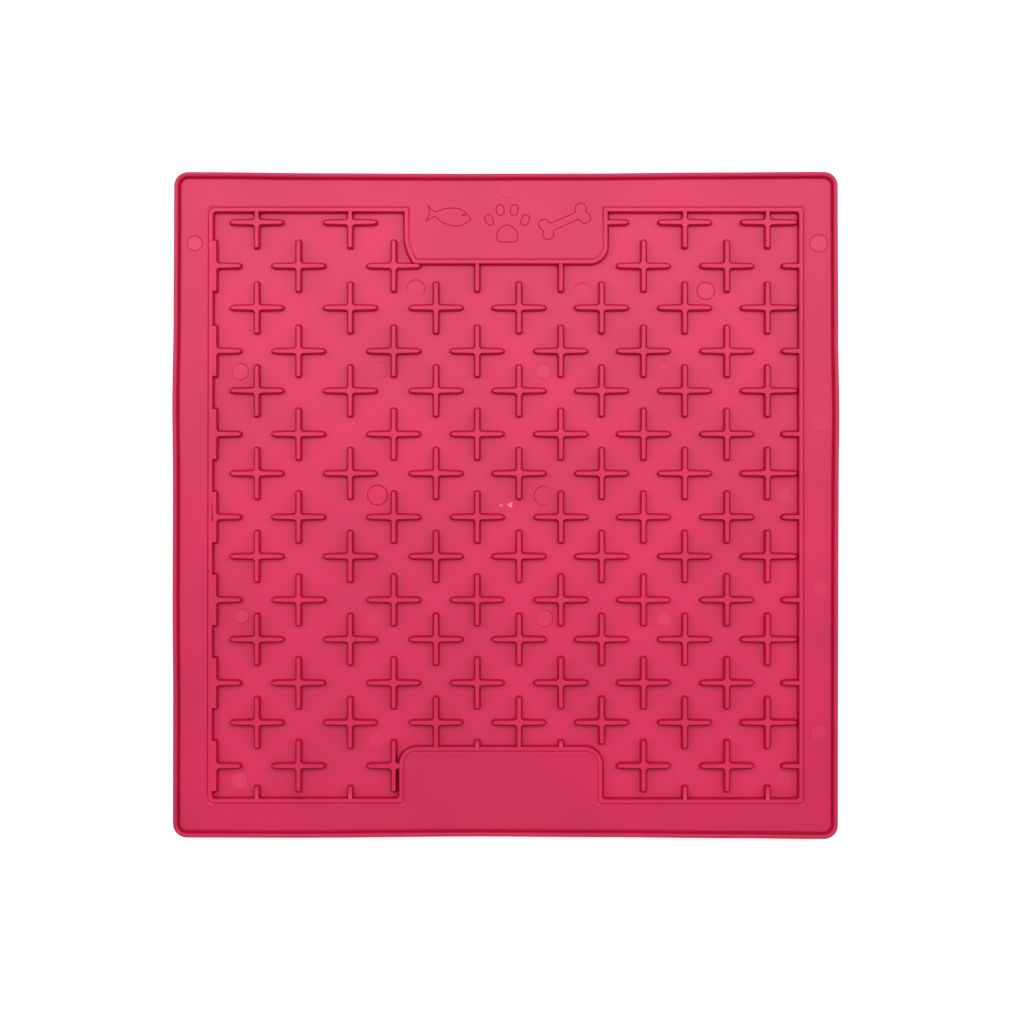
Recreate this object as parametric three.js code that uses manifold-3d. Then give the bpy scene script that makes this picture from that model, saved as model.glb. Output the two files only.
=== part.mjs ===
// A lick mat for a dog or cat: one piece of moulded rubber that lies flat.
// A rounded bead runs round the edge. Inside it lies a flat margin, then a thin frame rib,
// and inside the rib the bed, sunk lower, with rows of small raised crosses.
// A plain tab of margin reaches into the bed from the middle of the top and bottom sides.
// Millimetres, +Z up. The origin is the centre of the flat underside.

import * as THREE from "three";
import { mergeVertices } from "three/addons/utils/BufferGeometryUtils.js";
import Module from "manifold-3d";

const wasm = await Module();
wasm.setup();

const OVERALL = 200;        // widest reach of the outline, both ways
const EDGE_RADIUS = 4.2;    // outer corners
const EDGE_SWING = 0.28;    // the soft edge swings out this far past its straight line
const EDGE_HALF = OVERALL / 2 - EDGE_SWING;

const BED_TOP = 2.0;        // the sunk bed under the crosses
const MARGIN_TOP = 4.2;     // the margin and both tabs
const RIB_TOP = 4.8;        // the frame rib and the crosses
const BEAD_TOP = 5.8;       // the rounded bead round the edge
const CUT_TOP = 10;         // cutting solids reach up to here, clear of the mat
const CORE_LEVEL = 1.0;     // ribs are rooted down to here, inside the bed

const BEAD_WIDTH = 2.0;
const BEAD_ROUND = 0.6;     // how far the bead's top is rounded in from each of its sides
const BEAD_SHOULDER = 0.9;  // height of that rounding
const LOWER_CHAMFER = 0.3;  // edge of the underside

const RIB_WIDTH = 2.1;      // frame rib at the level of the bed
const RIB_DRAFT = 0.4;      // ribs and crosses narrow by this much on each side up to their top

// Arms of a cross, at the level of the bed, measured from its centre.
const ARM_HALF_WIDTH = 1.05;
const UPRIGHT_ARM = { tipLength: 0.6, shoulderHalf: 1.05, endHalf: 0.5 };
const LEVEL_ARM = { tipLength: 1.1, shoulderHalf: 0.9, endHalf: 0.4 };
const USUAL_REACH = { right: 8.4, up: 8.15, left: 8.4, down: 8.15 };

const SIDE_STEPS = 14;      // straight pieces along each side of the outline
const CORNER_STEPS = 5;
const STEPS_PER_MM = 1.2;   // pieces in a rounded corner of the frame, for each mm of radius

// The sides of the outline, counter-clockwise. Each swings out (+) or in (-) by a little, at
// places along it, which are counted counter-clockwise from the middle of the side.
const SIDES = [
  {
    name: "right",
    swing: [
      { along: -93, out: -0.19 }, { along: -63, out: -0.15 }, { along: -30, out: -0.06 },
      { along: 8, out: 0.06 }, { along: 27, out: 0.28 }, { along: 50, out: -0.07 },
      { along: 93, out: -0.23 },
    ],
  },
  {
    name: "top",
    swing: [
      { along: -93, out: 0.28 }, { along: -60, out: 0.1 }, { along: -25, out: -0.2 },
      { along: 15, out: -0.27 }, { along: 50, out: -0.15 }, { along: 93, out: 0.22 },
    ],
  },
  {
    name: "left",
    swing: [
      { along: -93, out: -0.28 }, { along: -56, out: -0.1 }, { along: -30, out: 0.28 },
      { along: -8, out: 0.08 }, { along: 32, out: 0.2 }, { along: 55, out: 0.03 },
      { along: 93, out: 0.08 },
    ],
  },
  {
    name: "bottom",
    swing: [
      { along: -93, out: -0.18 }, { along: -62, out: -0.09 }, { along: -9, out: -0.48 },
      { along: 30, out: -0.27 }, { along: 70, out: 0.06 }, { along: 93, out: 0.28 },
    ],
  },
];

// Centre line of the frame rib, counter-clockwise from the top left, with the rounding of its
// two sides. The tabs are the two bays in it, at the bottom and at the top.
const FRAME_CORNERS = [
  { x: -88.45, y: 88.7, bedRadius: 1.2, marginRadius: 2.1 },
  { x: -88.75, y: -88.55, bedRadius: 1.2, marginRadius: 2.1 },
  { x: -31.4, y: -88.55, bedRadius: 0.5, marginRadius: 1.0 },
  { x: -31.4, y: -73.0, bedRadius: 5.2, marginRadius: 3.6 },
  { x: 28.3, y: -73.0, bedRadius: 5.2, marginRadius: 3.6 },
  { x: 28.3, y: -88.75, bedRadius: 0.5, marginRadius: 1.2 },
  { x: 88.55, y: -88.75, bedRadius: 0.9, marginRadius: 1.1 },
  { x: 88.55, y: 88.7, bedRadius: 0.8, marginRadius: 1.2 },
  { x: 29.9, y: 88.7, bedRadius: 0, marginRadius: 0 },
  { x: 29.9, y: 73.1, bedRadius: 5.2, marginRadius: 3.6 },
  { x: -27.3, y: 73.1, bedRadius: 0.6, marginRadius: 0.5 },
  { x: -29.8, y: 77.9, bedRadius: 3.0, marginRadius: 2.6 },
  { x: -29.8, y: 88.7, bedRadius: 0, marginRadius: 0 },
];

// The crosses stand in staggered rows: every second row takes the other set of columns.
// The grid isn't quite even, and the frame and the tabs cut off the crosses at its border.
// Where the arms differ from the usual ones, their reach is given, and 0 leaves an arm out.
const CROSS_GRID = [
  {
    columns: [-74.7, -46.7, -20.95, 3.95, 53.7],
    rows: [84.9, 59.3, 34.4, 9.6, -15.3, -40.2, -65.15],
    reach: {},
  },
  { columns: [28.75], rows: [84.9, 59.3, 34.4, 9.6, -15.3, -40.2], reach: {} },
  { columns: [28.75], rows: [-65.15], reach: { down: 6.8 } },
  { columns: [-74.7, -46.7, 53.7], rows: [-91.9], reach: {} },
  {
    columns: [78.5],
    rows: [84.9, 59.3, 34.4, 9.6, -15.3, -40.2, -65.15, -91.9],
    reach: { right: 9.3 },
  },
  {
    columns: [-87.35, -62.2, -33.65, 41.3, 66.35, 90.75],
    rows: [71.85, 46.3, 21.4, -3.5, -28.35, -53.25, -78.15],
    reach: {},
  },
  {
    columns: [-8.6, 16.5],
    rows: [46.3, 21.4, -3.5, -28.35, -53.25, -78.15],
    reach: {},
  },
  { columns: [-8.6, 16.5], rows: [71.85], reach: { right: 0, up: 3, left: 0 } },
];

function swingAt(side, along) {
  const next = side.swing.findIndex((station) => station.along >= along);
  if (next === 0) return side.swing[0].out;
  if (next < 0) return side.swing.at(-1).out;
  const from = side.swing[next - 1];
  const to = side.swing[next];
  const share = THREE.MathUtils.smoothstep(along, from.along, to.along);
  return THREE.MathUtils.lerp(from.out, to.out, share);
}

// One side as if it were the right one, from bottom to top, and the rounded corner after it.
function sidePoints(side, nextSide, inset) {
  const straight = EDGE_HALF - EDGE_RADIUS;
  const points = [];
  for (let step = 0; step < SIDE_STEPS; step += 1) {
    const along = THREE.MathUtils.lerp(-straight, straight, step / SIDE_STEPS);
    points.push(new THREE.Vector2(EDGE_HALF - inset + swingAt(side, along), along));
  }
  const centreX = straight + swingAt(side, straight);
  const centreY = straight + swingAt(nextSide, -straight);
  const radius = EDGE_RADIUS - inset;
  for (let step = 0; step < CORNER_STEPS; step += 1) {
    const angle = step / CORNER_STEPS * Math.PI / 2;
    const x = centreX + radius * Math.cos(angle);
    const y = centreY + radius * Math.sin(angle);
    points.push(new THREE.Vector2(x, y));
  }
  return points;
}

// The outline of the mat, moved in by a given distance all the way round.
function outlinePoints(inset) {
  const middle = new THREE.Vector2(0, 0);
  return SIDES.flatMap((side, index) => {
    const nextSide = SIDES[(index + 1) % SIDES.length];
    const turn = index * Math.PI / 2;
    return sidePoints(side, nextSide, inset).map((point) => point.rotateAround(middle, turn));
  });
}

// A line along the frame rib, moved out from its centre line, with its corners rounded.
function framePoints(outward, radiusName) {
  return FRAME_CORNERS.flatMap((corner, index) => {
    const before = FRAME_CORNERS.at(index - 1);
    const after = FRAME_CORNERS[(index + 1) % FRAME_CORNERS.length];
    const arrive = new THREE.Vector2(corner.x - before.x, corner.y - before.y).normalize();
    const leave = new THREE.Vector2(after.x - corner.x, after.y - corner.y).normalize();
    const mitre = 1 + arrive.dot(leave);
    const x = corner.x + outward * (arrive.y + leave.y) / mitre;
    const y = corner.y - outward * (arrive.x + leave.x) / mitre;
    return cornerArc(new THREE.Vector2(x, y), arrive, leave, corner[radiusName]);
  });
}

function cornerArc(corner, arrive, leave, radius) {
  if (radius === 0) return [corner];
  const steps = Math.max(2, Math.round(radius * STEPS_PER_MM));
  const centre = corner.clone().addScaledVector(arrive, -radius).addScaledVector(leave, radius);
  const points = [];
  for (let step = 0; step <= steps; step += 1) {
    const angle = step / steps * Math.PI / 2;
    const point = centre.clone();
    point.addScaledVector(leave, -radius * Math.cos(angle));
    point.addScaledVector(arrive, radius * Math.sin(angle));
    points.push(point);
  }
  return points;
}

// The outline of one cross: each arm has two shoulder points and two end points.
function crossPoints(centreX, centreY, reach) {
  const middle = new THREE.Vector2(0, 0);
  const centre = new THREE.Vector2(centreX, centreY);
  const arms = [
    { ...LEVEL_ARM, end: reach.right },
    { ...UPRIGHT_ARM, end: reach.up },
    { ...LEVEL_ARM, end: reach.left },
    { ...UPRIGHT_ARM, end: reach.down },
  ];
  return arms.flatMap((arm, index) => {
    const quarter = [new THREE.Vector2(ARM_HALF_WIDTH, ARM_HALF_WIDTH)];
    if (arm.end > 0) {
      quarter.unshift(
        new THREE.Vector2(arm.end - arm.tipLength, -arm.shoulderHalf),
        new THREE.Vector2(arm.end, -arm.endHalf),
        new THREE.Vector2(arm.end, arm.endHalf),
        new THREE.Vector2(arm.end - arm.tipLength, arm.shoulderHalf),
      );
    }
    return quarter.map((point) => point.rotateAround(middle, index * Math.PI / 2).add(centre));
  });
}

function toSolid(geometry) {
  geometry.deleteAttribute("normal");
  geometry.deleteAttribute("uv");
  const merged = mergeVertices(geometry);
  const vertProperties = new Float32Array(merged.attributes.position.array);
  const triVerts = new Uint32Array(merged.index.array);
  return new wasm.Manifold(new wasm.Mesh({ numProp: 3, vertProperties, triVerts }));
}

// A solid with straight sides between two levels.
function slab(points, bottom, top) {
  const shape = new THREE.Shape(points);
  const geometry = new THREE.ExtrudeGeometry(shape, { depth: top - bottom, bevelEnabled: false });
  geometry.translate(0, 0, bottom);
  return toSolid(geometry);
}

// A solid whose top and bottom edges are drawn in by the given amount over the given height.
function easedSlab(shape, { bottom, top, drawnIn, over, steps }) {
  const geometry = new THREE.ExtrudeGeometry(shape, {
    depth: top - bottom - 2 * over,
    bevelThickness: over,
    bevelSize: drawnIn,
    bevelOffset: -drawnIn,
    bevelSegments: steps,
  });
  geometry.translate(0, 0, bottom + over);
  return toSolid(geometry);
}

// A rib that narrows from the level of the bed up to its top. It reaches as far down as up,
// and what lies too low is cut off afterwards.
function draftedRib(shape) {
  const over = RIB_TOP - BED_TOP;
  const bottom = CORE_LEVEL - over;
  return easedSlab(shape, { bottom, top: RIB_TOP, drawnIn: RIB_DRAFT, over, steps: 1 });
}

function makeSheet() {
  const shape = new THREE.Shape(outlinePoints(0));
  const ease = { drawnIn: LOWER_CHAMFER, over: LOWER_CHAMFER, steps: 1 };
  const sheet = easedSlab(shape, { bottom: 0, top: MARGIN_TOP, ...ease });
  return sheet.subtract(slab(framePoints(0, "bedRadius"), BED_TOP, CUT_TOP));
}

function makeBead() {
  const shape = new THREE.Shape(outlinePoints(0));
  shape.holes.push(new THREE.Path(outlinePoints(BEAD_WIDTH)));
  const ease = { drawnIn: BEAD_ROUND, over: BEAD_SHOULDER, steps: 2 };
  return easedSlab(shape, { bottom: CORE_LEVEL, top: BEAD_TOP, ...ease });
}

function makeFrameRib() {
  const shape = new THREE.Shape(framePoints(RIB_WIDTH / 2, "marginRadius"));
  shape.holes.push(new THREE.Path(framePoints(-RIB_WIDTH / 2, "bedRadius")));
  return draftedRib(shape);
}

function makeCrosses() {
  const outlines = CROSS_GRID.flatMap(({ columns, rows, reach }) =>
    rows.flatMap((y) => columns.map((x) => crossPoints(x, y, { ...USUAL_REACH, ...reach }))));
  const crosses = outlines.map((points) => draftedRib(new THREE.Shape(points)));
  const insideFrame = slab(framePoints(0, "bedRadius"), CORE_LEVEL, CUT_TOP);
  return wasm.Manifold.union(crosses).intersect(insideFrame);
}

function makeMat() {
  const aboveCore = slab(outlinePoints(0), CORE_LEVEL, CUT_TOP);
  const ribs = makeFrameRib().intersect(aboveCore).add(makeCrosses());
  return makeSheet().add(makeBead()).add(ribs);
}

function toGeometry(solid) {
  const { vertProperties, triVerts } = solid.getMesh();
  const geometry = new THREE.BufferGeometry();
  geometry.setAttribute("position", new THREE.BufferAttribute(vertProperties, 3));
  geometry.setIndex(new THREE.BufferAttribute(triVerts, 1));
  geometry.computeVertexNormals();
  return geometry;
}

const mouldedRubber = new THREE.MeshStandardMaterial({
  color: 0xe04a6c,
  roughness: 0.42,
  metalness: 0,
});

const mat = new THREE.Mesh(toGeometry(makeMat()), mouldedRubber);
mat.name = "mat";

const lickMat = new THREE.Group();
lickMat.name = "lick_mat";
lickMat.add(mat);

export default lickMat;
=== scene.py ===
# %% [markdown]
# # A moulded rubber lick mat
# The mat is one piece of soft rubber, shot into a steel mould. Seen from above it has four
# parts: a rounded bead round the edge, a flat margin, a thin frame rib, and a sunk bed that is
# covered with small raised crosses. Two tabs of the margin reach into the bed.
# This lesson builds it the way the mould maker cuts the mould: each feature is a simple closed
# solid, drawn as a flat outline and raised step by step, and the solids are then joined or
# cut away. Lengths are in millimetres until the very end.

import math

import bmesh
import bpy
from mathutils import Matrix, Vector


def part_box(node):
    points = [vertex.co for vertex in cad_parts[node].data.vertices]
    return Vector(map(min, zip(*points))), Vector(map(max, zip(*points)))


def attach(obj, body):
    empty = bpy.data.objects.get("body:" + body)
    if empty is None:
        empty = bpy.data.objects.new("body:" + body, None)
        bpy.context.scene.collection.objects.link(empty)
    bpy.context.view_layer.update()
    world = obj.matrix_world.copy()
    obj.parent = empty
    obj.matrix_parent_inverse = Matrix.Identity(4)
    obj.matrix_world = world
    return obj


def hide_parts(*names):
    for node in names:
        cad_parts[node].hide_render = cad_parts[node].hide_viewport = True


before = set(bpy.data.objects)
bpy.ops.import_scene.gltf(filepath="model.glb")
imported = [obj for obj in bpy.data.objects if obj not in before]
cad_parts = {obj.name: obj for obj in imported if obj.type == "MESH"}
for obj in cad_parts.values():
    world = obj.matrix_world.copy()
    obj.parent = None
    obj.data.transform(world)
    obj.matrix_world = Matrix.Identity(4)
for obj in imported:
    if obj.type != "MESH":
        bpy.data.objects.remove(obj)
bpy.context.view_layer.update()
mat_low, mat_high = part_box("mat")
print("the CAD mat reaches from", tuple(mat_low), "to", tuple(mat_high))

# %% [markdown]
# ## Sizes
# The levels and the edge have the same values as in the CAD source, so that the detailed mat
# fills the same space. Levels are heights above the table. The bed is 2 mm thick, the margin
# 4.2 mm, and the bead stands highest, because it keeps food and water on the mat. The ribs are
# rooted down to CORE_LEVEL, inside the bed, and CUT_TOP lies clear above everything.

# %% Levels and widths, in millimetres
MM = 0.001
CORE_LEVEL = 1.0
BED_TOP = 2.0
MARGIN_TOP = 4.2
RIB_TOP = 4.8
BEAD_TOP = 5.8
CUT_TOP = 10.0
OVERALL = 200
EDGE_SWING = 0.28
EDGE_HALF = OVERALL / 2 - EDGE_SWING
EDGE_RADIUS = 4.2

# %% [markdown]
# ## From a flat outline to a solid
# Every feature of the mat has draft: its walls lean a little, so that the rubber comes out of
# the mould. Leaning walls could be made with a scale, but a scale moves long arms more than
# short ones. An inset keeps the same distance all the way round, as a milling cutter does. So
# each solid starts as one flat face, is extruded upright, and then climbs by insets. A step is
# a pair: how far inward, and how far up.

# %% Helpers that turn a flat face into a stepped solid
SEGMENTS_PER_MM = 3.2


def flat_face(corners):
    """One face from a few corner points, given with the rounding of each corner."""
    work = bmesh.new()
    verts = [work.verts.new((x, y, 0)) for x, y, radius in corners]
    work.faces.new(verts)
    for vert, (x, y, radius) in zip(verts, corners):
        if radius > 0:
            segments = max(2, round(radius * SEGMENTS_PER_MM))
            bmesh.ops.bevel(
                work, geom=[vert], offset=radius, segments=segments, profile=0.5,
                affect="VERTICES", clamp_overlap=False, material=-1)
    bmesh.ops.recalc_face_normals(work, faces=work.faces)
    face = work.faces[:][0]
    if face.normal.z < 0:
        face.normal_flip()
    return work


def raise_solid(work, bottom, top):
    """Extrude the flat face into a prism between two levels. Returns its lower and upper face."""
    bmesh.ops.translate(work, verts=work.verts, vec=(0, 0, bottom))
    raised = bmesh.ops.extrude_face_region(work, geom=work.faces[:], use_keep_orig=True)
    lifted = [item for item in raised["geom"] if isinstance(item, bmesh.types.BMVert)]
    bmesh.ops.translate(work, verts=lifted, vec=(0, 0, top - bottom))
    bmesh.ops.recalc_face_normals(work, faces=work.faces)
    by_height = sorted(work.faces, key=lambda item: item.calc_center_median().z)
    return by_height[0], by_height[-1]


def climb(work, face, steps):
    """Draw a face in and push it on, step by step. A negative second number turns back."""
    for inward, onward in steps:
        bmesh.ops.inset_region(
            work, faces=[face], thickness=inward, depth=onward, use_even_offset=True,
            use_boundary=True)


def to_object(work, name):
    """A new object at the origin with the mesh that was worked on."""
    mesh = bpy.data.meshes.new(name)
    work.to_mesh(mesh)
    work.free()
    piece = bpy.data.objects.new(name, mesh)
    bpy.context.scene.collection.objects.link(piece)
    return piece


# %% [markdown]
# ## Joining and cutting
# A mould maker cuts one form out of another, and Blender's Boolean modifier does the same. Its
# Manifold solver is fast and always returns a closed skin, as long as both solids are closed.
# The result is read back into the mesh at once, so no modifier is left that needs the cutter.

# %% Helper that joins or cuts two solids
def combine(piece, other, operation):
    """Join a piece with another solid, cut it or keep their overlap. The other is used up."""
    modifier = piece.modifiers.new(operation.lower(), "BOOLEAN")
    modifier.object = other
    modifier.operation = operation
    modifier.solver = "MANIFOLD"
    depsgraph = bpy.context.evaluated_depsgraph_get()
    joined = bpy.data.meshes.new_from_object(piece.evaluated_get(depsgraph))
    piece.modifiers.clear()
    piece.data = joined
    bpy.data.objects.remove(other)
    print(piece.name, operation.lower(), "->", len(joined.polygons), "faces")


# %% [markdown]
# ## The outline
# Soft rubber never lies quite straight: each side of the mat swings in and out by a fraction of
# a millimetre. The four tables below say by how much, at places counted from the middle of the
# side. A smooth curve joins them.

# %% How the four sides swing
TOLERANCE = 0.01
SWINGS = {
    "right": [(-93, -0.19), (-63, -0.15), (-30, -0.06), (8, 0.06), (27, 0.28), (50, -0.07),
              (93, -0.23)],
    "top": [(-93, 0.22), (-50, -0.15), (-15, -0.27), (25, -0.2), (60, 0.1), (93, 0.28)],
    "left": [(-93, 0.08), (-55, 0.03), (-32, 0.2), (8, 0.08), (30, 0.28), (56, -0.1),
             (93, -0.28)],
    "bottom": [(-93, -0.18), (-62, -0.09), (-9, -0.48), (30, -0.27), (70, 0.06), (93, 0.28)],
}


def swing_at(side, along):
    """How far a side swings out at a place along it, eased between the table's places."""
    stations = SWINGS[side]
    if along <= stations[0][0]:
        return stations[0][1]
    for (from_along, from_out), (to_along, to_out) in zip(stations, stations[1:]):
        if along <= to_along:
            share = (along - from_along) / (to_along - from_along)
            share = share * share * (3 - 2 * share)
            return from_out + share * (to_out - from_out)
    return stations[-1][1]


def swing_edge(work):
    """Move the points of the square outline out or in, each side by its own table."""
    straight = EDGE_HALF - EDGE_RADIUS - TOLERANCE
    for vert in work.verts:
        x, y = vert.co.x, vert.co.y
        if x > straight:
            vert.co.x += swing_at("right", y)
        if x < -straight:
            vert.co.x -= swing_at("left", y)
        if y > straight:
            vert.co.y += swing_at("top", x)
        if y < -straight:
            vert.co.y -= swing_at("bottom", x)


# %% [markdown]
# ## The blank with its bead
# One square face with rounded corners becomes the whole blank. The first steps round the
# outside of the bead, one step crosses its crest, and the next ones fall to the groove at its
# foot and rise again to the margin. The edge of the underside gets a small chamfer.

# %% The blank
BEAD_ROUNDING = 0.9
CHAMFER = 0.3
LONG_EDGE = 50
CUTS_PER_SIDE = 27
BEAD_STEPS = [(0.05, 0.32), (0.1, 0.28), (0.14, 0.2), (0.22, 0.1), (0.26, 0.0),
              (0.25, -0.08), (0.25, -0.16), (0.18, -0.28), (0.12, -0.42), (0.12, -0.96),
              (0.12, -0.2), (0.1, 0.22), (0.12, 0.18), (0.2, 0.06), (0.5, 0.04)]

blank_work = flat_face([(sx * EDGE_HALF, sy * EDGE_HALF, EDGE_RADIUS)
                        for sx, sy in ((1, 1), (-1, 1), (-1, -1), (1, -1))])
long_edges = [edge for edge in blank_work.edges if edge.calc_length() > LONG_EDGE]
bmesh.ops.subdivide_edges(blank_work, edges=long_edges, cuts=CUTS_PER_SIDE)
swing_edge(blank_work)
underside, upper = raise_solid(blank_work, CHAMFER, BEAD_TOP - BEAD_ROUNDING)
climb(blank_work, underside, [(CHAMFER, CHAMFER)])
climb(blank_work, upper, BEAD_STEPS)
mat = to_object(blank_work, "lick_mat")
print("blank:", len(mat.data.polygons), "faces")

# %% [markdown]
# ## The frame rib
# The rib has a margin side and a bed side. The margin side is a low plateau that is joined to
# the blank: it rises as a gentle ramp, dips in a fine groove and then climbs to the crest. The
# bed side is the mould core, which is cut out of it: the core's walls lean outward as they
# rise, so what is left of the plateau is a slender rib with draft on it. Both follow one centre
# line, whose corners are rounded differently on each side.

# %% The centre line of the rib, and the steps of its two sides
FRAME_CORNERS = [
    # x, y, rounding of the crest towards the bed, and towards the margin
    (-88.45, 88.7, 1.2, 1.7), (-88.75, -88.55, 1.2, 1.7),
    (-31.4, -88.55, 1.0, 0.6), (-31.4, -73.0, 5.2, 4.0),
    (28.3, -73.0, 5.2, 4.0), (28.3, -88.75, 1.0, 0.8),
    (88.55, -88.75, 1.1, 0.7), (88.55, 88.7, 1.1, 0.8),
    (29.9, 88.7, 0, 0), (29.9, 73.1, 5.2, 4.0),
    (-27.3, 73.1, 0.6, 0.5), (-29.8, 77.9, 3.0, 2.6), (-29.8, 88.7, 0, 0),
]
CREST_HALF = 0.46
CREST_STEPS = [(0.08, 0.14), (0.06, 0.03)]
WALL_STEPS = [(0.1, 0.1), (0.07, 0.18), (0.43, 2.35)]
FOOT_HALF = CREST_HALF + sum(inward for inward, up in CREST_STEPS + WALL_STEPS)
print("rib crest:", round(2 * CREST_HALF, 2), "mm wide, foot:", round(2 * FOOT_HALF, 2), "mm")


def frame_outline(outward, towards):
    """Corner points of a line along the rib, moved out from its centre line."""
    outline = []
    for index, (x, y, bed, margin) in enumerate(FRAME_CORNERS):
        before = Vector(FRAME_CORNERS[index - 1][:2])
        after = Vector(FRAME_CORNERS[(index + 1) % len(FRAME_CORNERS)][:2])
        arrive = (Vector((x, y)) - before).normalized()
        leave = (after - Vector((x, y))).normalized()
        mitre = 1 + arrive.dot(leave)
        corner_x = x + outward * (arrive.y + leave.y) / mitre
        corner_y = y - outward * (arrive.x + leave.x) / mitre
        turn = (arrive.x * leave.y - arrive.y * leave.x) / mitre
        grown = margin + (outward - CREST_HALF) * turn if margin > 0 else 0
        outline.append((corner_x, corner_y, bed if towards == "bed" else grown))
    return outline


# %% The plateau, joined to the blank
SUNK = 0.02
RAMP_STEPS = [(0.05, SUNK), (1.2, 0.05), (0.8, 0.1)]
FOOT_GROOVE_STEPS = [(0.14, -0.16), (0.26, 0.44)]
MARGIN_STEPS = RAMP_STEPS + FOOT_GROOVE_STEPS + CREST_STEPS
plateau_half = CREST_HALF + sum(inward for inward, up in MARGIN_STEPS)
plateau_work = flat_face(frame_outline(plateau_half, "margin"))
_, upper = raise_solid(plateau_work, CORE_LEVEL, MARGIN_TOP - SUNK)
climb(plateau_work, upper, MARGIN_STEPS)
combine(mat, to_object(plateau_work, "plateau"), "UNION")

# %% The mould core, cut out of it
core_work = flat_face(frame_outline(-CREST_HALF, "bed"))
lower, _ = raise_solid(core_work, RIB_TOP, CUT_TOP)
climb(core_work, lower, CREST_STEPS[::-1] + WALL_STEPS[::-1])
combine(mat, to_object(core_work, "core"), "DIFFERENCE")

# %% [markdown]
# ## The crosses
# The crosses stand in fifteen staggered rows. All of them are cut in the mould with the same
# tool, so one cross is modelled and copied. Its arms differ a little: the upright ones are
# straight with a rounded end, the level ones taper. Crosses at the border are cut off along
# the centre line of the rib, so their arms run into it.

# %% One cross
LEVEL_ROOT = 1.28
ROOT_ROUNDING = 0.25
LEVEL_TIP = [(1.45, 1.15, 0), (0.55, 0.9, 0), (0, 0.42, 0)]
ARM_TIPS = {
    # back from the end, half the width there, rounding
    "right": LEVEL_TIP,
    "up": [(0, 1.18, 0.8)],
    "left": LEVEL_TIP,
    "down": [(0, 1.18, 0.7)],
}
USUAL_REACH = {"right": 8.45, "up": 8.15, "left": 8.45, "down": 8.15}


def cross_outline(reach):
    """Corner points of a cross whose arms have the given reach. An arm of reach 0 is left out."""
    outline = []
    for turn, (side, tip) in enumerate(ARM_TIPS.items()):
        end = reach[side]
        arm = []
        if end > 0:
            arm += [(end - back, -half, radius) for back, half, radius in tip]
            arm += [(end - back, half, radius) for back, half, radius in reversed(tip)]
        root = (FOOT_HALF, LEVEL_ROOT) if tip is LEVEL_TIP else (LEVEL_ROOT, FOOT_HALF)
        arm.append((*root, ROOT_ROUNDING if min(reach.values()) > 0 else 0))
        spin = Matrix.Rotation(turn * math.pi / 2, 2)
        for x, y, radius in arm:
            place = spin @ Vector((x, y))
            outline.append((place.x, place.y, radius))
    return outline


def make_cross(reach):
    """One cross at the origin, rooted inside the bed."""
    work = flat_face(cross_outline(reach))
    _, upper = raise_solid(work, CORE_LEVEL, BED_TOP)
    climb(work, upper, WALL_STEPS + CREST_STEPS)
    return to_object(work, "cross")


# %% Every cross at its place
BELOW_ROOTS = CORE_LEVEL - 0.5
UPPER_ROWS = [84.9, 59.3, 34.4, 9.6, -15.3, -40.2]
OTHER_ROWS = [46.3, 21.4, -3.5, -28.35, -53.25, -78.15]
CROSS_GRID = [
    # columns, rows, and the arms that differ from the usual reach
    ([-74.7, -46.7, -20.95, 3.95, 53.7], UPPER_ROWS + [-65.15], {}),
    ([28.75], UPPER_ROWS, {}),
    ([28.75], [-65.15], {"down": 6.8}),
    ([-74.7, -46.7, 53.7], [-91.9], {}),
    ([78.5], UPPER_ROWS + [-65.15, -91.9], {"right": 9.3}),
    ([-87.35, -62.2, -33.65, 41.3, 66.35, 90.75], [71.85] + OTHER_ROWS, {}),
    ([-8.6, 16.5], OTHER_ROWS, {}),
    ([-8.6, 16.5], [71.85], {"right": 0, "up": 3, "left": 0}),
    # The cutter went in twice at the left border, so the stubs there stand on a broader foot.
    ([-87.75], [71.85] + OTHER_ROWS, {}),
]

for columns, rows, changed in CROSS_GRID:
    one_cross = make_cross({**USUAL_REACH, **changed})
    field_work = bmesh.new()
    for x in columns:
        for y in rows:
            field_work.from_mesh(one_cross.data)
            fresh = field_work.verts[-len(one_cross.data.vertices):]
            bmesh.ops.translate(field_work, verts=fresh, vec=(x, y, 0))
    bpy.data.objects.remove(one_cross)
    crosses = to_object(field_work, "crosses")
    inside_work = flat_face(frame_outline(0, "bed"))
    raise_solid(inside_work, BELOW_ROOTS, CUT_TOP)
    combine(crosses, to_object(inside_work, "inside"), "INTERSECT")
    combine(mat, crosses, "UNION")
    print(len(columns) * len(rows), "crosses set")

# %% [markdown]
# ## Marks of the mould
# Ejector pins push the soft mat out of the mould, and the end of each pin leaves a round mark.
# No pin is cut quite square, so most marks are deeper on one side and show as an arc there.
# Each mark is a flat round cutter with a fine ring at its rim, tipped by a degree or so. A pale
# mark is pressed in whole. Of the others only the deeper side has bitten.

# %% A cutter that leaves a groove along its border
GROOVE_HALF = 0.19
CLEAR = 0.02
CUTTER_TOP = 0.6


def groove_cutter(work, depth, inside):
    """A cutter with a ring of the given depth at its rim. inside is the depth within it."""
    lower, _ = raise_solid(work, CLEAR, CUTTER_TOP)
    climb(work, lower, [(GROOVE_HALF, depth + CLEAR), (GROOVE_HALF, inside - depth)])


def add_cutter(cutters, work, spot, turn):
    """Turn a cutter about its own middle, move it to its spot and add it to the others."""
    bmesh.ops.rotate(work, verts=work.verts, cent=(0, 0, 0), matrix=turn)
    bmesh.ops.translate(work, verts=work.verts, vec=spot)
    mesh = bpy.data.meshes.new("cutter")
    work.to_mesh(mesh)
    work.free()
    cutters.from_mesh(mesh)
    bpy.data.meshes.remove(mesh)


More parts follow.
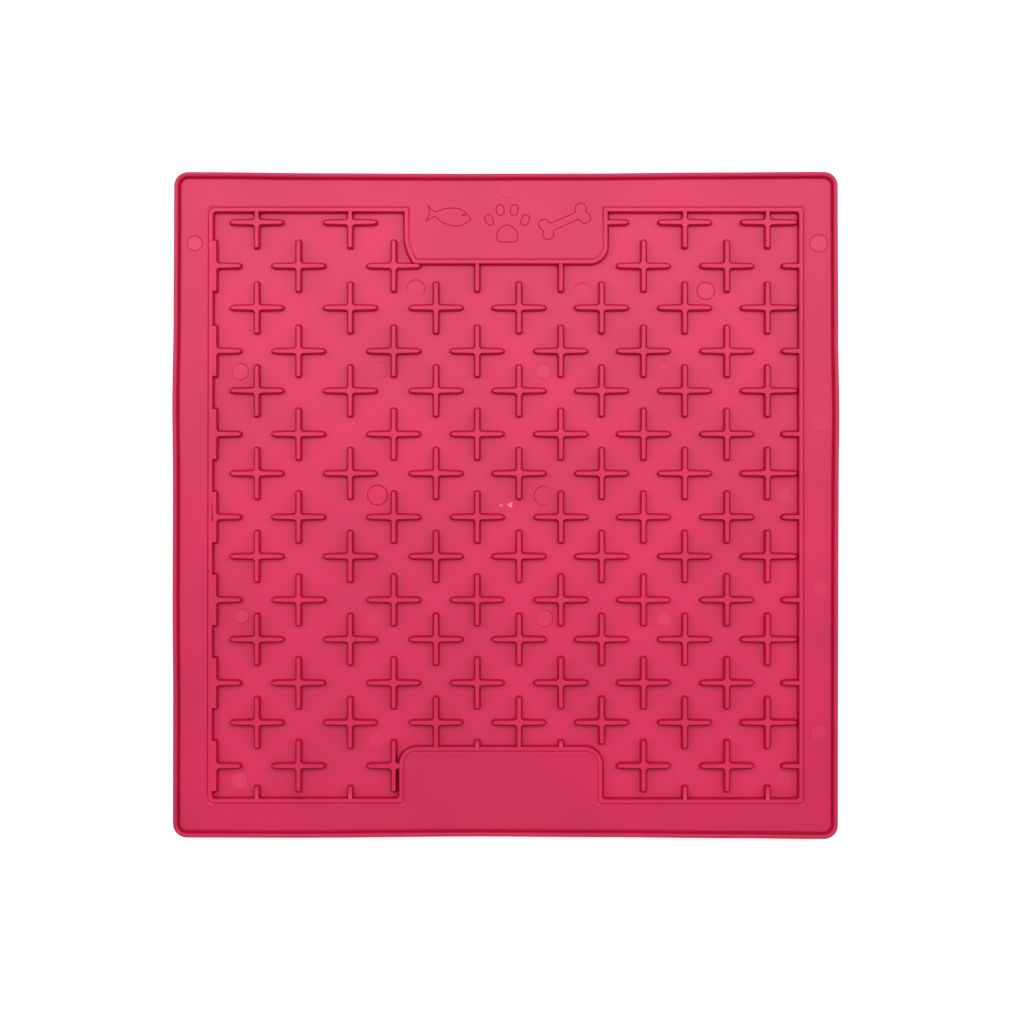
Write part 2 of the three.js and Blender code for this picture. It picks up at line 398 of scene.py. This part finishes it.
# %% The ejector pins
PIN_SEGMENTS = 32
PRESSED = 0.01
PALE_FROM = 0.3
PIN_MARKS = [
    # x, y, radius, level, depth of the ring, tip and direction of the deepest side in degrees,
    # and how pale the pin has left the rubber
    (-93.3, 78.6, 2.4, MARGIN_TOP, 0.1, 1.0, 40, 1.0),
    (93.9, 78.6, 2.8, MARGIN_TOP, 0.1, 0.3, 90, 0.8),
    (94.2, 24.7, 2.7, MARGIN_TOP, 0.02, 0.2, 90, 0.35),
    (94.2, -24.7, 2.7, MARGIN_TOP, 0.02, 0.2, 90, 0.45),
    (93.9, -68.5, 2.7, MARGIN_TOP, 0.04, 1.0, 90, 0.3),
    (0.2, 94.5, 2.4, MARGIN_TOP, 0.02, 0.5, 270, 0.35),
    (-79.8, 40.2, 2.6, BED_TOP, 0.07, 2.2, 0, 0.5),
    (-37.9, 40.6, 2.6, BED_TOP, 0.05, 2.0, 0, 0.2),
    (-27.1, 65.1, 2.9, BED_TOP, 0.12, 3.0, 75, 0.1),
    (22.9, 64.2, 2.9, BED_TOP, 0.06, 2.2, 90, 0.1),
    (11.3, 40.3, 2.5, BED_TOP, 0.04, 0.5, 90, 0.7),
    (47.5, 40.6, 2.6, BED_TOP, 0.04, 1.8, 90, 0.2),
    (60.1, 64.5, 2.8, BED_TOP, 0.15, 0.4, 200, 0.4),
    (-38.6, 3.1, 3.2, BED_TOP, 0.22, 0.5, 0, 0.2),
    (11.4, 2.9, 3.1, BED_TOP, 0.14, 3.0, 165, 0.2),
    (83.4, 2.8, 2.6, BED_TOP, 0.02, 0.2, 90, 0.4),
    (-79.5, -33.4, 2.4, BED_TOP, 0.07, 1.8, 0, 0.6),
    (-39.1, -33.4, 2.5, BED_TOP, 0.02, 0.4, 90, 0.3),
    (11.6, -34.0, 2.7, BED_TOP, 0.08, 2.0, 0, 0.5),
    (47.5, -34.3, 2.1, BED_TOP, 0.03, 0.3, 0, 0.9),
    (-80.1, -82.8, 2.6, BED_TOP, 0.04, 0.6, 0, 0.9),
    (-38.8, -70.6, 2.6, BED_TOP, 0.03, 1.0, 90, 0.3),
    (83.4, -82.2, 2.4, BED_TOP, 0.02, 0.5, 60, 0.3),
]

pin_work = bmesh.new()
for x, y, radius, level, ring, tip, direction, pale in PIN_MARKS:
    work = bmesh.new()
    bmesh.ops.create_circle(work, cap_ends=True, segments=PIN_SEGMENTS, radius=radius)
    whole_depth = PRESSED + radius * math.sin(math.radians(tip))
    inside = whole_depth if pale >= PALE_FROM else 0
    groove_cutter(work, inside + ring, inside)
    axis = (-math.sin(math.radians(direction)), math.cos(math.radians(direction)), 0)
    add_cutter(pin_work, work, (x, y, level), Matrix.Rotation(math.radians(tip), 3, axis))
combine(mat, to_object(pin_work, "pins"), "DIFFERENCE")
print(len(PIN_MARKS), "pin marks")

# %% [markdown]
# The rubber is shot in through one hole, the gate, in the middle of the mat. Where it is torn
# off, a small nub and a torn, whitened flake are left. Both are tiny wedges, tipped so that the
# flake catches the light. Later both are painted paler, partly as whitened rubber and partly as a
# painted highlight.

# %% The gate
GATE_ROOT = -0.6
GATE = [
    # x, y, height above the bed, tip in degrees, corners with their rounding
    (1.2, 0.1, 0.26, 11, [(-1.0, -0.1, 0), (0.6, -0.95, 0.2), (0.8, 0.9, 0.2), (-0.1, 0.6, 0)]),
    (-1.4, 0, 0.16, 7, [(-0.5, -0.5, 0.3), (0.5, -0.5, 0.3), (0.5, 0.4, 0.3), (-0.5, 0.4, 0.3)]),
]

gate_work = bmesh.new()
for x, y, height, tip, corners in GATE:
    work = flat_face(corners)
    raise_solid(work, GATE_ROOT, height)
    add_cutter(gate_work, work, (x, y, BED_TOP), Matrix.Rotation(-math.radians(tip), 3, "X"))
combine(mat, to_object(gate_work, "gate"), "UNION")

# %% [markdown]
# ## The drawing on the upper tab
# The line drawing is engraved. A thin line could be a curve with a round section that is cut
# out, but its crossings and sharp bends are hard to keep closed. The pin's cutter does it more
# simply: with the outline of a figure it dips into the mat only along its border. The figures
# are a plain fish, a paw print and a bone, each from a few rounded corners.

# %% The fish, the paw print and the bone
LINE_DEPTH = 0.17
FISH = [
    # x, y, rounding
    (6.6, 0, 1.1), (3.0, 3.1, 2.2), (-1.8, 2.6, 1.4), (-4.9, 0.8, 0.5), (-7.6, 2.9, 0),
    (-6.6, 0, 0), (-7.6, -2.9, 0), (-4.9, -0.8, 0.5), (-1.8, -2.6, 1.4), (3.0, -3.1, 2.2),
]
BONE = [
    (-4.2, 1.3, 0.6), (-4.6, 3.3, 1.0), (-7.8, 3.3, 1.4), (-7.8, 0.6, 0.5), (-7.0, 0, 0.3),
    (-7.8, -0.6, 0.5), (-7.8, -3.3, 1.4), (-4.6, -3.3, 1.0), (-4.2, -1.3, 0.6),
    (4.2, -1.3, 0.6), (4.6, -3.3, 1.0), (7.8, -3.3, 1.4), (7.8, -0.6, 0.5), (7.0, 0, 0.3),
    (7.8, 0.6, 0.5), (7.8, 3.3, 1.4), (4.6, 3.3, 1.0), (4.2, 1.3, 0.6),
]
PAD = [(-3.4, -3.6, 1.6), (3.4, -3.6, 1.6), (3.2, 0.2, 1.4), (0, 2.4, 1.6), (-3.2, 0.2, 1.4)]
TOE = [(-1.3, -1.8, 1.2), (1.3, -1.8, 1.2), (1.3, 1.8, 1.2), (-1.3, 1.8, 1.2)]
EYE = [(-0.5, -0.5, 0.4), (0.5, -0.5, 0.4), (0.5, 0.5, 0.4), (-0.5, 0.5, 0.4)]
FIGURES = [
    # outline, x, y, turn in degrees
    (FISH, -16.5, 86.6, -8), (EYE, -12.6, 87.1, 0),
    (PAD, 0.4, 82.4, 0), (TOE, -5.0, 85.6, 26), (TOE, -1.7, 88.6, 8), (TOE, 2.5, 88.6, -8),
    (TOE, 5.8, 85.6, -26), (BONE, 17.6, 85.2, 24),
]

drawing_work = bmesh.new()
for outline, x, y, turn in FIGURES:
    work = flat_face(outline)
    groove_cutter(work, LINE_DEPTH, -CLEAR)
    spin = Matrix.Rotation(math.radians(turn), 3, "Z")
    add_cutter(drawing_work, work, (x, y, MARGIN_TOP), spin)
combine(mat, to_object(drawing_work, "drawing"), "DIFFERENCE")

# %% [markdown]
# ## Into metres, with smooth shading
# The mesh is scaled to metres in its own data, so that the object itself stays unscaled. The
# weighted normals let each large flat face keep its own direction, and the narrow steps
# between them shade as roundings. The drawing and the marks are so fine that they shade flat.
# A face attribute says how pale the rubber is, and at the gate it also carries a painted
# highlight. A pin's disc is told from the bed around it by its share of the pin's area, as the
# bed's face can have its centre anywhere.
# The solids joined so far are closed. Merging the points that all but coincide takes out some
# 400 of them, but it also pinches a few slivers of no width on the left run of the rib. Their
# edges don't join exactly two faces, and are counted at the end.

# %% Scale and shade
MERGE_DISTANCE = 0.0005
DRAWING_HALF_WIDTH = 27
DRAWING_BOTTOM = 77
DRAWING_TOP = 92
PIN_RIM = 0.1
PIN_PALENESS = 0.12
LEAST_SHARE = 0.5
LARGEST_SHARE = 1.1
GATE_REACH = 2.5
GATE_LOWEST = BED_TOP + 0.02
GATE_HIGHEST = BED_TOP + 0.5
FLAKE_PALENESS_AND_HIGHLIGHT = 1.0
NUB_PALENESS_AND_HIGHLIGHT = 0.5

final_work = bmesh.new()
final_work.from_mesh(mat.data)
bmesh.ops.remove_doubles(final_work, verts=final_work.verts, dist=MERGE_DISTANCE)
bmesh.ops.scale(final_work, verts=final_work.verts, vec=(MM, MM, MM))
pale_and_highlight_layer = final_work.faces.layers.float.new("pale")
for face in final_work.faces:
    centre = face.calc_center_median() / MM
    across_drawing = abs(centre.x) < DRAWING_HALF_WIDTH
    face.smooth = not (across_drawing and DRAWING_BOTTOM < centre.y < DRAWING_TOP)
    for x, y, radius, level, ring, tip, direction, pale in PIN_MARKS:
        if math.dist((x, y), centre.xy) < radius + PIN_RIM:
            face.smooth = False
            share = face.calc_area() / (math.pi * (MM * radius) ** 2)
            if centre.z < level and LEAST_SHARE < share < LARGEST_SHARE:
                face[pale_and_highlight_layer] = PIN_PALENESS * pale
    # At the gate the paleness is partly whitened torn rubber and partly a painted highlight.
    if centre.xy.length < GATE_REACH and GATE_LOWEST < centre.z < GATE_HIGHEST:
        face.smooth = False
        face[pale_and_highlight_layer] = FLAKE_PALENESS_AND_HIGHLIGHT if centre.x > 0 else NUB_PALENESS_AND_HIGHLIGHT
pinched = [edge for edge in final_work.edges if not edge.is_manifold]
final_work.to_mesh(mat.data)
final_work.free()
print("mat:", len(mat.data.polygons), "faces,", len(pinched), "edges without exactly two faces")

weighted = mat.modifiers.new("weighted normals", "WEIGHTED_NORMAL")
weighted.mode = "FACE_AREA"
weighted.weight = 60
weighted.keep_sharp = True

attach(mat, "root")
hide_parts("mat")

# %% [markdown]
# ## The rubber
# Moulded thermoplastic rubber, dyed through. It is a strong raspberry red with almost no green
# in it, and what looks pink on the mat is the white room, mirrored faintly by its satin skin.
# That is why the walls of the ribs, which mirror the red bed instead, look so deep. Here that
# deep red is painted into their colour, as painted shade and painted reflection.
# A mould with a finely roughened steel face leaves a satin skin with a fine grain. The skin also
# has low waves from uneven cooling, which make its sheen wander, and its colour is made a few per
# cent darker or lighter in soft clouds at random.
# The sizes of the patterns are in millimetres. The real grain is too fine to show from here, so
# it is drawn coarser.

# %% Colours and the node helper
def srgb(code):
    """A hex colour as linear values."""
    channels = [int(code[index:index + 2], 16) / 255 for index in (1, 3, 5)]
    linear = [c / 12.92 if c <= 0.04045 else ((c + 0.055) / 1.055) ** 2.4 for c in channels]
    return (*linear, 1.0)


def add_node(tree, kind, settings=None, links=None):
    """Add a node. settings fill its properties or sockets, links join its sockets to others."""
    node = tree.nodes.new(kind)
    for name, value in (settings or {}).items():
        if name in node.inputs:
            node.inputs[name].default_value = value
        else:
            setattr(node, name, value)
    for name, source in (links or {}).items():
        tree.links.new(source, node.inputs[name])
    return node


# %% The patterns in the rubber's skin
WAVE_SIZE = 35.714
WAVE_HEIGHT = 0.3
GRAIN_SIZE = 0.7143
GRAIN_HEIGHT = 0.02
CLOUD_SIZE = 31.25

rubber = bpy.data.materials.new("moulded_rubber_raspberry")
rubber.use_nodes = True
tree = rubber.node_tree
tree.nodes.clear()
place = add_node(tree, "ShaderNodeTexCoord")
waves = add_node(tree, "ShaderNodeTexNoise",
                 {"Scale": 1 / (WAVE_SIZE * MM), "Detail": 1.5, "Roughness": 0.45},
                 {"Vector": place.outputs["Object"]})
wave_bump = add_node(tree, "ShaderNodeBump", {"Strength": 1.0, "Distance": WAVE_HEIGHT * MM},
                     {"Height": waves.outputs["Fac"]})
grain = add_node(tree, "ShaderNodeTexNoise", {"Scale": 1 / (GRAIN_SIZE * MM), "Detail": 2.0},
                 {"Vector": place.outputs["Object"]})
grain_bump = add_node(tree, "ShaderNodeBump", {"Strength": 0.25, "Distance": GRAIN_HEIGHT * MM},
                      {"Height": grain.outputs["Fac"], "Normal": wave_bump.outputs["Normal"]})
clouds = add_node(tree, "ShaderNodeTexNoise",
                  {"Scale": 1 / (CLOUD_SIZE * MM), "Detail": 2.0, "Roughness": 0.5},
                  {"Vector": place.outputs["Object"]})
cloud_strength = add_node(tree, "ShaderNodeMapRange",
                          {"From Min": 0.35, "From Max": 0.65, "To Min": 0.94, "To Max": 1.05},
                          {"Value": clouds.outputs["Fac"]})

# %% [markdown]
# The colour follows the shape, with painted shade in it. Higher levels are painted a slightly
# deeper red than the bed, as painted shade, and steep walls deeper still, as painted shade and a
# painted reflection of the red bed. Where a pin has pressed, the rubber has whitened; at the gate
# it is painted paler, partly as whitened rubber and partly as a painted highlight.
# A Mix node has sockets of the same name for values, vectors and colours, so those for its
# colours are picked by number.

# %% The colour of the rubber, with painted shade and highlight
MIX_A = 6
MIX_B = 7
MIX_COLOUR = 2

facing = add_node(tree, "ShaderNodeNewGeometry")
facing_parts = add_node(tree, "ShaderNodeSeparateXYZ",
                        links={"Vector": facing.outputs["Normal"]})
# Painted shade: a mask of the steep walls, from the upward part of the normal.
wall_shade_mask = add_node(tree, "ShaderNodeMapRange",
                 {"From Min": 0.3, "From Max": 0.85, "To Min": 1.0, "To Max": 0.0},
                 {"Value": facing_parts.outputs["Z"]})
place_parts = add_node(tree, "ShaderNodeSeparateXYZ", links={"Vector": place.outputs["Object"]})
rise = add_node(tree, "ShaderNodeMapRange",
                {"From Min": BED_TOP * MM, "From Max": BEAD_TOP * MM},
                {"Value": place_parts.outputs["Z"]})
# Painted shade: the ramp keeps the bed at the rubber's own red and paints the margin, the rib
# crests and the bead a little darker, the bead most, standing for the shade their faces get under
# this light.
red_and_height_shade = add_node(tree, "ShaderNodeValToRGB", links={"Fac": rise.outputs["Result"]})
ramp = red_and_height_shade.color_ramp
ramp.elements[0].position = 0.0
ramp.elements[0].color = srgb("#c41f4e")
ramp.elements[1].position = 1.0
ramp.elements[1].color = srgb("#b21646")
ramp.elements.new(0.6).color = srgb("#bc1848")
ramp.elements.new(0.74).color = srgb("#bf184a")
# Painted shade and painted reflection: steep walls are mixed toward a deep red.
wall_shaded = add_node(tree, "ShaderNodeMix", {"data_type": "RGBA"},
                {MIX_A: red_and_height_shade.outputs["Color"], "Factor": wall_shade_mask.outputs["Result"]})
wall_shaded.inputs[MIX_B].default_value = srgb("#b00026")
clouded = add_node(tree, "ShaderNodeMix",
                   {"data_type": "RGBA", "blend_type": "MULTIPLY", "Factor": 1.0},
                   {MIX_A: wall_shaded.outputs[MIX_COLOUR], MIX_B: cloud_strength.outputs["Result"]})
paleness_and_highlight = add_node(tree, "ShaderNodeAttribute", {"attribute_name": "pale"})
# Paleness: whitened rubber at the pins; at the gate it is partly a painted highlight.
whitened_and_highlit = add_node(tree, "ShaderNodeMix", {"data_type": "RGBA"},
                    {MIX_A: clouded.outputs[MIX_COLOUR], "Factor": paleness_and_highlight.outputs["Fac"]})
whitened_and_highlit.inputs[MIX_B].default_value = srgb("#ec6a86")

# %% The skin
skin = add_node(tree, "ShaderNodeBsdfPrincipled", {"Roughness": 0.38, "IOR": 1.36},
                {"Base Color": whitened_and_highlit.outputs[MIX_COLOUR],
                 "Normal": grain_bump.outputs["Normal"]})
add_node(tree, "ShaderNodeOutputMaterial", links={"Surface": skin.outputs["BSDF"]})
mat.data.materials.clear()
mat.data.materials.append(rubber)
print("rubber:", len(tree.nodes), "nodes")

# %% [markdown]
# ## Table, light and camera
# A plain white table, a white room all round, and one large soft light above the far side of
# the mat. The table glows a little, as a sheet on a light box does, so that it stays pure white
# without a shadow. The camera looks straight down. From here on, lengths are in metres.

# %% Table
TABLE_HALF = 3.0
TABLE_GLOW = 0.45

floor_work = bmesh.new()
bmesh.ops.create_grid(floor_work, x_segments=1, y_segments=1, size=TABLE_HALF)
floor = to_object(floor_work, "table")
paper = bpy.data.materials.new("white_table")
paper.use_nodes = True
sheet = paper.node_tree.nodes["Principled BSDF"]
sheet.inputs["Base Color"].default_value = srgb("#fbfbfb")
sheet.inputs["Roughness"].default_value = 0.9
sheet.inputs["Emission Color"].default_value = srgb("#ffffff")
sheet.inputs["Emission Strength"].default_value = TABLE_GLOW
floor.data.materials.append(paper)

# %% Light
ROOM_STRENGTH = 0.76
LAMP_LENGTH = 2.2
LAMP_WIDTH = 0.5
LAMP_WATTS = 10.4
LAMP_PLACE = (0, 0.28, 0.75)
LAMP_TILT = 25

world = bpy.data.worlds.new("white_room")
world.use_nodes = True
room = world.node_tree.nodes["Background"]
room.inputs["Color"].default_value = srgb("#ffffff")
room.inputs["Strength"].default_value = ROOM_STRENGTH
bpy.context.scene.world = world

lamp_data = bpy.data.lights.new("soft_light", "AREA")
lamp_data.shape = "RECTANGLE"
lamp_data.size = LAMP_LENGTH
lamp_data.size_y = LAMP_WIDTH
lamp_data.energy = LAMP_WATTS
lamp = bpy.data.objects.new("soft_light", lamp_data)
lamp.location = LAMP_PLACE
lamp.rotation_euler = (math.radians(LAMP_TILT), 0, 0)
bpy.context.scene.collection.objects.link(lamp)

# %% Camera
CAMERA_HEIGHT = 0.9
CAMERA_X = 0.00184
CAMERA_Y = -0.00198
SENSOR_WIDTH = 36
VIEW_WIDTH = 0.3068
VIEW_LEVEL = 0.005

camera_data = bpy.data.cameras.new("camera")
camera_data.sensor_width = SENSOR_WIDTH
camera_data.lens = SENSOR_WIDTH * (CAMERA_HEIGHT - VIEW_LEVEL) / VIEW_WIDTH
camera = bpy.data.objects.new("camera", camera_data)
camera.location = (CAMERA_X, CAMERA_Y, CAMERA_HEIGHT)
bpy.context.scene.collection.objects.link(camera)
bpy.context.scene.camera = camera
print("camera:", round(camera_data.lens, 1), "mm lens")
bpy.context.scene.view_settings.view_transform = "Standard"
